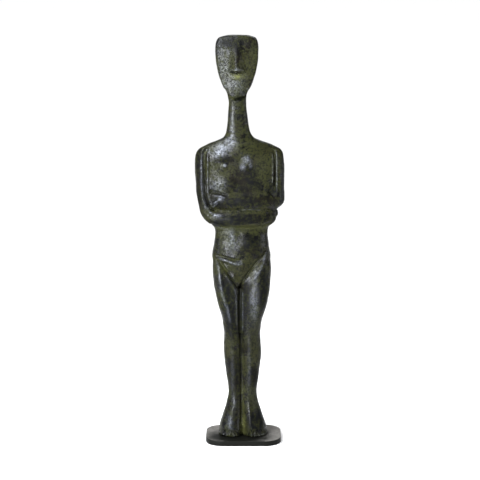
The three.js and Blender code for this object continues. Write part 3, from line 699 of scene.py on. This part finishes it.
def makeCastSkin():
    # Height of the cast skin: soft hammering, grain and a few pits
    tree, start, end = newTree(
        "castSkin", "ShaderNodeTree",
        [("Vector", "NodeSocketVector", None), ("Grain", "NodeSocketFloat", 900.0),
         ("Pits", "NodeSocketFloat", 0.4)],
        [("Height", "NodeSocketFloat")],
    )
    rule = skinRule
    vector = start.outputs["Vector"]
    hammer = addNode(tree, "ShaderNodeTexNoise", {"Vector": vector, **rule["hammer"]})
    grain = addNode(tree, "ShaderNodeTexNoise", {
        "Vector": vector, "Scale": start.outputs["Grain"], **rule["grain"]})
    cells = addNode(tree, "ShaderNodeTexVoronoi", {"Vector": vector, **rule["pits"]})
    pitted = addNode(tree, "ShaderNodeTexNoise", {"Vector": vector, **rule["pitted"]})
    dots = ramp(tree, cells.outputs["Distance"], *rule["pitRim"])
    pits = times(tree, dots, ramp(tree, pitted.outputs[0], *rule["pittedEdge"]))
    pits = times(tree, pits, start.outputs["Pits"])
    height = plus(tree, times(tree, hammer.outputs[0], rule["hammerHeight"]),
                  times(tree, grain.outputs[0], rule["grainHeight"]))
    feed(tree, end.inputs["Height"], mathNode(tree, "SUBTRACT", height, pits))
    return tree


# Materials

figureFinish = {
    "black": (0.0013, 0.0015, 0.0017, 1),
    "olive": (0.0140, 0.0149, 0.0047, 1),
    "brown": (0.0090, 0.0072, 0.0032, 1),
    "verdigris": (0.095, 0.1, 0.033, 1),
    # Paler bluish metal, for worn edges and for the painted highlights of the rub marks
    "rubbedAndHighlit": (0.165, 0.175, 0.205, 1),
    # Painted shade: near black laid into the deepest hollows, under the nose and chin and down the cleft
    "recessShade": (0.002, 0.002, 0.0015, 1),
    # Layers of mottle: how fine, the share left bare, how soft its edges are, where its pattern starts
    "patches": {"scale": 105.0, "share": 0.5, "softness": 0.06},
    "specks": {"scale": 420.0, "share": 0.53, "softness": 0.05, "offset": (0.52, 0.1, 0.2)},
    "clouds": {"scale": 60.0, "share": 0.55, "softness": 0.1, "offset": (0.7, 0.4, 0.9)},
    "grain": {"scale": 900.0, "share": 0.53, "softness": 0.05, "offset": (0.2, 0.5, 0.6)},
    # From the ground up, over black with olive patches: mask, strength, colour
    "coats": [
        ("clouds", 0.5, "brown"), ("specks", 0.7, "olive"), ("grain", 0.85, "black"),
        ("ragged", 0.12, "verdigris"), ("deepest", 0.85, "recessShade"), ("bloom", 0.85, "verdigris"),
    ],
    # Where the mesh's recess starts and ends as a mask, and the same for its wear
    "hollow": (0.12, 0.5), "deepest": (0.35, 0.75), "edge": (0.3, 0.6),
    "raggedLeast": 0.2, "bloomLeast": 0.45, "mattness": -1.6,
    "edgeRub": 0.2, "rubBroken": 0.8, "bareMetal": 0.5,
    "skin": {"grain": 1100.0, "pits": 0.35, "strength": 0.55, "height": 0.6 * mm},
    "ior": 1.14,
    "polish": 0.19,
    "roughness": {"patches": 0.22, "matt": 1.0, "specks": 0.2, "hollow": 0.2, "bloom": 0.2},
    "wax": 0.34, "waxIor": 1.4, "waxRoughness": 0.22,
    "waxLoss": {"matt": 1.4, "specks": 0.17, "patches": 0.12, "grain": 0.2},
}

plinthFinish = {
    # dark is the plate's patina and its painted shade and shadow; pale is its top as lit from above
    "dark": (0.004, 0.0042, 0.0032, 1),
    "pale": (0.126, 0.12, 0.111, 1),
    "clouds": {"scale": 75.0, "share": 0.5, "softness": 0.15},
    "specks": {"scale": 400.0, "share": 0.55, "softness": 0.1},
    # Painted shadow: an oval round the feet that stays dark
    "footShadow": {"location": (0.06, 0.44, 0.0), "scale": (42.0, 56.0, 0.0), "edge": (0.65, 1.25), "ragged": 0.25},
    "speckle": 0.35,
    "skin": {"grain": 1300.0, "pits": 0.3, "strength": 0.2, "height": 0.4 * mm},
    "ior": 1.15,
    "polish": 0.42,
    "roughness": {"clouds": 0.12},
}


def newMaterial(name):
    material = bpy.data.materials.new(name)
    material.use_nodes = True
    tree = material.node_tree
    tree.nodes.clear()
    output = tree.nodes.new("ShaderNodeOutputMaterial")
    shader = tree.nodes.new("ShaderNodeBsdfPrincipled")
    tree.links.new(shader.outputs[0], output.inputs["Surface"])
    place = tree.nodes.new("ShaderNodeTexCoord").outputs["Object"]
    return material, tree, shader, place


def mottleMask(tree, mottle, place, layer, bias=0.0):
    if "offset" in layer:
        place = addNode(tree, "ShaderNodeMapping", {"Vector": place, "Location": layer["offset"]}).outputs[0]
    return addNode(tree, "ShaderNodeGroup", {
        "Vector": place, "Scale": layer["scale"], "Share": layer["share"], "Softness": layer["softness"],
        "Bias": bias}, node_tree=mottle).outputs["Mask"]


def skinBump(tree, castSkin, place, skin):
    group = addNode(tree, "ShaderNodeGroup", {
        "Vector": place, "Grain": skin["grain"], "Pits": skin["pits"]}, node_tree=castSkin)
    return addNode(tree, "ShaderNodeBump", {
        "Height": group.outputs["Height"], "Strength": skin["strength"],
        "Distance": skin["height"]}).outputs[0]


def makeFigureMaterial(mottle, castSkin):
    material, tree, shader, place = newMaterial("greenBlackPatina")
    finish = figureFinish
    recess, wear, poolsAndShade, verdigris, rubHighlight = [
        addNode(tree, "ShaderNodeAttribute", attribute_name=name).outputs["Fac"]
        for name in ("recess", "wear", "poolsAndShade", "verdigris", "rubHighlight")
    ]
    masks = {name: mottleMask(tree, mottle, place, finish[name]) for name in ("specks", "clouds", "grain")}
    # The pools set the olive and black patches; below zero they also paint shade and dull the wax
    masks["patches"] = mottleMask(tree, mottle, place, finish["patches"], poolsAndShade)
    masks["hollow"] = ramp(tree, recess, *finish["hollow"])
    # Painted shade in the deepest recess
    masks["deepest"] = ramp(tree, recess, *finish["deepest"])
    masks["ragged"] = times(tree, masks["hollow"], plus(tree, masks["patches"], finish["raggedLeast"], True))
    masks["bloom"] = times(tree, verdigris, plus(tree, masks["specks"], finish["bloomLeast"], True))
    masks["matt"] = times(tree, mathNode(tree, "MINIMUM", poolsAndShade, 0.0), finish["mattness"])
    color = mixColor(tree, masks["patches"], finish["black"], finish["olive"])
    for name, strength, paint in finish["coats"]:
        color = mixColor(tree, times(tree, masks[name], strength), color, finish[paint])
    # Metal shows where the patina is rubbed, between the specks; the rub marks add painted highlights, the
    # paler bluish colour laid where the light shines
    edgesAndHighlights = times(tree, ramp(tree, wear, *finish["edge"]), masks["clouds"])
    edgesAndHighlights = plus(tree, times(tree, edgesAndHighlights, finish["edgeRub"]), rubHighlight)
    broken = times(tree, plus(tree, masks["specks"], masks["grain"], True), finish["rubBroken"])
    bareAndHighlit = times(tree, edgesAndHighlights, mathNode(tree, "SUBTRACT", 1.0, broken), True)
    rough = weightedSum(tree, finish["polish"], masks, finish["roughness"])
    # The wax holds on the smooth patina, and wears off the matt black and the olive
    loss = weightedSum(tree, 0.0, masks, finish["waxLoss"])
    bump = skinBump(tree, castSkin, place, finish["skin"])
    inputs = {
        "Base Color": mixColor(tree, bareAndHighlit, color, finish["rubbedAndHighlit"]),
        "Metallic": times(tree, bareAndHighlit, finish["bareMetal"]),
        "Roughness": plus(tree, rough, 0.0, True),
        "IOR": finish["ior"],
        "Normal": bump,
        "Coat Weight": mathNode(tree, "SUBTRACT", finish["wax"], loss, True),
        "Coat IOR": finish["waxIor"],
        "Coat Roughness": finish["waxRoughness"],
        "Coat Normal": bump,
    }
    for name, value in inputs.items():
        feed(tree, shader.inputs[name], value)
    return material


def makePlinthMaterial(mottle, castSkin):
    material, tree, shader, place = newMaterial("greyBrownPatina")
    finish, footShadow = plinthFinish, plinthFinish["footShadow"]
    masks = {name: mottleMask(tree, mottle, place, finish[name]) for name in ("clouds", "specks")}
    # Painted shadow: dark in an oval round the feet; painted shade on the rim and sides, with the pale tone
    # kept to the top face
    middle = addNode(tree, "ShaderNodeMapping", {
        "Vector": place, "Location": footShadow["location"], "Scale": footShadow["scale"]})
    away = addNode(tree, "ShaderNodeVectorMath", {0: middle.outputs[0]}, operation="LENGTH").outputs["Value"]
    clear = ramp(tree, weightedSum(tree, away, masks, {"clouds": footShadow["ragged"]}), *footShadow["edge"])
    height = addNode(tree, "ShaderNodeSeparateXYZ", {0: place}).outputs["Z"]
    thickness = plinthPlate["thickness"]
    # Painted light: only the top face is pale, the rim and sides stay dark as if in shade
    litTopOnly = ramp(tree, height, thickness - plinthPlate["edgeRound"], thickness)
    color = mixColor(tree, times(tree, clear, litTopOnly), finish["dark"], finish["pale"])
    inputs = {
        "Base Color": mixColor(tree, times(tree, masks["specks"], finish["speckle"]), color, finish["dark"]),
        "Roughness": weightedSum(tree, finish["polish"], masks, finish["roughness"]),
        "IOR": finish["ior"],
        "Normal": skinBump(tree, castSkin, place, finish["skin"]),
    }
    for name, value in inputs.items():
        feed(tree, shader.inputs[name], value)
    return material


# Plinth: a rounded plate swept round its outline

plinthPlate = {
    "width": plinthHigh[0] - plinthLow[0],
    "depth": plinthHigh[1] - plinthLow[1],
    "thickness": plinthHigh[2] - plinthLow[2],
    "cornerRadius": 10.5 * mm,
    "edgeRound": 0.45 * mm,
    "cornerPoints": 24,
    "rimPoints": 14,
    "spacing": 0.8 * mm,
    "weld": 0.02 * mm,
}


def makePlinth(material):
    plate = plinthPlate
    lengths = {"Width": plate["width"], "Depth": plate["depth"], "Thickness": plate["thickness"],
               "Corner Radius": plate["cornerRadius"], "Edge Round": plate["edgeRound"]}
    tree, start, end = newTree(
        "roundedPlate", "GeometryNodeTree",
        [(label, "NodeSocketFloat", None) for label in lengths] + [("Material", "NodeSocketMaterial", None)],
        [("Geometry", "NodeSocketGeometry")],
    )
    width, depth, thick, corner, edge = [start.outputs[label] for label in lengths]

    def less(a, b, factor=1.0):
        return mathNode(tree, "SUBTRACT", a, times(tree, b, factor))

    def shape(kind, inputs, **settings):
        return addNode(tree, "GeometryNode" + kind, inputs, **settings).outputs[0]

    quad = shape("CurvePrimitiveQuadrilateral", {
        "Width": less(width, edge, 2.0), "Height": less(depth, edge, 2.0)})
    outline = shape("FilletCurve", {
        "Curve": quad, "Radius": less(corner, edge), "Count": plate["cornerPoints"]}, mode="POLY")
    dense = shape("ResampleCurve", {"Curve": outline, "Length": plate["spacing"]}, mode="LENGTH")
    # The rim's profile: a quarter circle at each end of a short upright, drawn about the plate's middle
    profile = shape("ResampleCurve", {"Curve": shape("CurvePrimitiveLine", {}), "Count": plate["rimPoints"]})
    along = addNode(tree, "GeometryNodeSplineParameter").outputs["Factor"]
    angle = times(tree, mathNode(tree, "SUBTRACT", along, 0.5), math.pi)
    half = times(tree, thick, 0.5)
    outward = times(tree, mathNode(tree, "COSINE", angle, 0.0), edge)
    upright = plus(tree, times(tree, mathNode(tree, "SINE", angle, 0.0), edge),
                   times(tree, mathNode(tree, "SIGN", angle, 0.0), less(half, edge)))
    spot = addNode(tree, "ShaderNodeCombineXYZ", {"X": outward, "Y": upright}).outputs[0]
    profile = shape("SetPosition", {"Geometry": profile, "Position": spot})
    rim = shape("CurveToMesh", {"Curve": dense, "Profile Curve": profile})
    cap = shape("FillCurve", {"Curve": dense}, mode="NGONS")
    above = addNode(tree, "ShaderNodeCombineXYZ", {"Z": half}).outputs[0]
    below = addNode(tree, "ShaderNodeCombineXYZ", {"Z": times(tree, half, -1.0)}).outputs[0]
    top = shape("Transform", {"Geometry": cap, "Translation": above})
    bottom = shape("FlipFaces", {"Mesh": shape("Transform", {"Geometry": cap, "Translation": below})})
    joined = addNode(tree, "GeometryNodeJoinGeometry")
    for shell in (rim, top, bottom):
        tree.links.new(shell, joined.inputs[0])
    closed = shape("MergeByDistance", {"Geometry": joined.outputs[0], "Distance": plate["weld"]})
    raised = shape("Transform", {"Geometry": closed, "Translation": above})
    real = shape("RealizeInstances", {"Geometry": raised})
    painted = shape("SetMaterial", {"Geometry": real, "Material": start.outputs["Material"]})
    feed(tree, end.inputs["Geometry"], painted)
    carrier = bpy.data.objects.new("plinthRule", bpy.data.meshes.new("plinthRule"))
    bpy.context.collection.objects.link(carrier)
    rule = carrier.modifiers.new("plate", "NODES")
    rule.node_group = tree
    values = {**lengths, "Material": material}
    for socket in tree.interface.items_tree:
        if socket.item_type == "SOCKET" and socket.name in values:
            rule[socket.identifier] = values[socket.name]
    evaluated = carrier.evaluated_get(bpy.context.evaluated_depsgraph_get())
    mesh = bpy.data.meshes.new_from_object(evaluated)
    carrier.modifiers.remove(rule)
    bpy.data.objects.remove(carrier)
    mesh.name = "plinthPlate"
    for face in mesh.polygons:
        face.use_smooth = len(face.vertices) == 4
    piece = bpy.data.objects.new("plinthPlate", mesh)
    bpy.context.collection.objects.link(piece)
    print("plinth:", len(mesh.polygons), "faces")
    return piece


# Stage and light

studio = {
    "floorRadius": 14.0,
    "floorPoints": 96,
    "floorColor": (0.88, 0.88, 0.88, 1),
    "floorRoughness": 0.9,
    "worldColor": (1, 1, 1, 1),
    "worldStrength": 0.38,
    "sky": {"strength": 2.7, "angle": math.radians(60), "turn": (math.radians(12), math.radians(-18), 0)},
    "boxColor": (0.93, 0.965, 1.0),
    "spread": math.radians(75),
    "softboxes": [
        {"name": "sideStrip", "place": (-0.36, -0.19, 0.27),
         "size": (0.09, 0.54), "aim": 0.27, "power": 0.24},
        {"name": "rightStrip", "place": (0.36, -0.16, 0.27),
         "size": (0.09, 0.54), "aim": 0.27, "power": 0.22},
        {"name": "topBox", "place": (-0.34, -0.28, 0.66),
         "size": (0.3, 0.26), "aim": 0.18, "power": 1.15},
        {"name": "frontBox", "place": (-0.19, -0.36, 0.28),
         "size": (0.13, 0.56), "aim": 0.28, "power": 1.68},
        {"name": "backBox", "place": (0.05, 0.45, 0.5),
         "size": (0.3, 0.4), "aim": 0.15, "power": 0.15},
    ],
}


def makeStage():
    mesh = bpy.data.meshes.new("floor")
    radius, count = studio["floorRadius"], studio["floorPoints"]
    turns = [2 * math.pi * i / count for i in range(count)]
    ring = [(radius * math.cos(turn), radius * math.sin(turn), cadLow[2]) for turn in turns]
    mesh.from_pydata(ring, [], [tuple(range(count))])
    floor = bpy.data.objects.new("floor", mesh)
    bpy.context.collection.objects.link(floor)
    material, _, shader, _ = newMaterial("paleFloor")
    shader.inputs["Base Color"].default_value = studio["floorColor"]
    shader.inputs["Roughness"].default_value = studio["floorRoughness"]
    mesh.materials.append(material)
    world = bpy.data.worlds.new("studio")
    bpy.context.scene.world = world
    world.use_nodes = True
    background = world.node_tree.nodes["Background"]
    background.inputs["Color"].default_value = studio["worldColor"]
    background.inputs["Strength"].default_value = studio["worldStrength"]
    bpy.context.scene.view_settings.view_transform = "Standard"
    print("stage: floor and world")


def makeLights():
    sky = bpy.data.lights.new("skylight", "SUN")
    sky.energy = studio["sky"]["strength"]
    sky.angle = studio["sky"]["angle"]
    lamp = bpy.data.objects.new("skylight", sky)
    lamp.rotation_euler = studio["sky"]["turn"]
    bpy.context.collection.objects.link(lamp)
    for box in studio["softboxes"]:
        light = bpy.data.lights.new(box["name"], "AREA")
        light.shape = "RECTANGLE"
        light.size, light.size_y = box["size"]
        light.energy = box["power"]
        light.color = studio["boxColor"]
        light.spread = studio["spread"]
        lamp = bpy.data.objects.new(box["name"], light)
        lamp.location = box["place"]
        aim = Vector((0, 0, box["aim"])) - Vector(box["place"])
        lamp.rotation_euler = aim.to_track_quat("-Z", "Y").to_euler()
        lamp.visible_camera = False
        bpy.context.collection.objects.link(lamp)
    print("lights: skylight and", len(studio["softboxes"]), "softboxes")


makeCamera()
makeStage()
makeLights()
mottleGroup, skinGroup = makeMottle(), makeCastSkin()
figurePiece = makeFigure()
figurePiece.data.materials.append(makeFigureMaterial(mottleGroup, skinGroup))
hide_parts("figure")
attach(figurePiece, "root")
plinthPiece = makePlinth(makePlinthMaterial(mottleGroup, skinGroup))
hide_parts("plinth")
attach(plinthPiece, "root")

print("size: cad", [round(v, 4) for v in cadLow], [round(v, 4) for v in cadHigh])
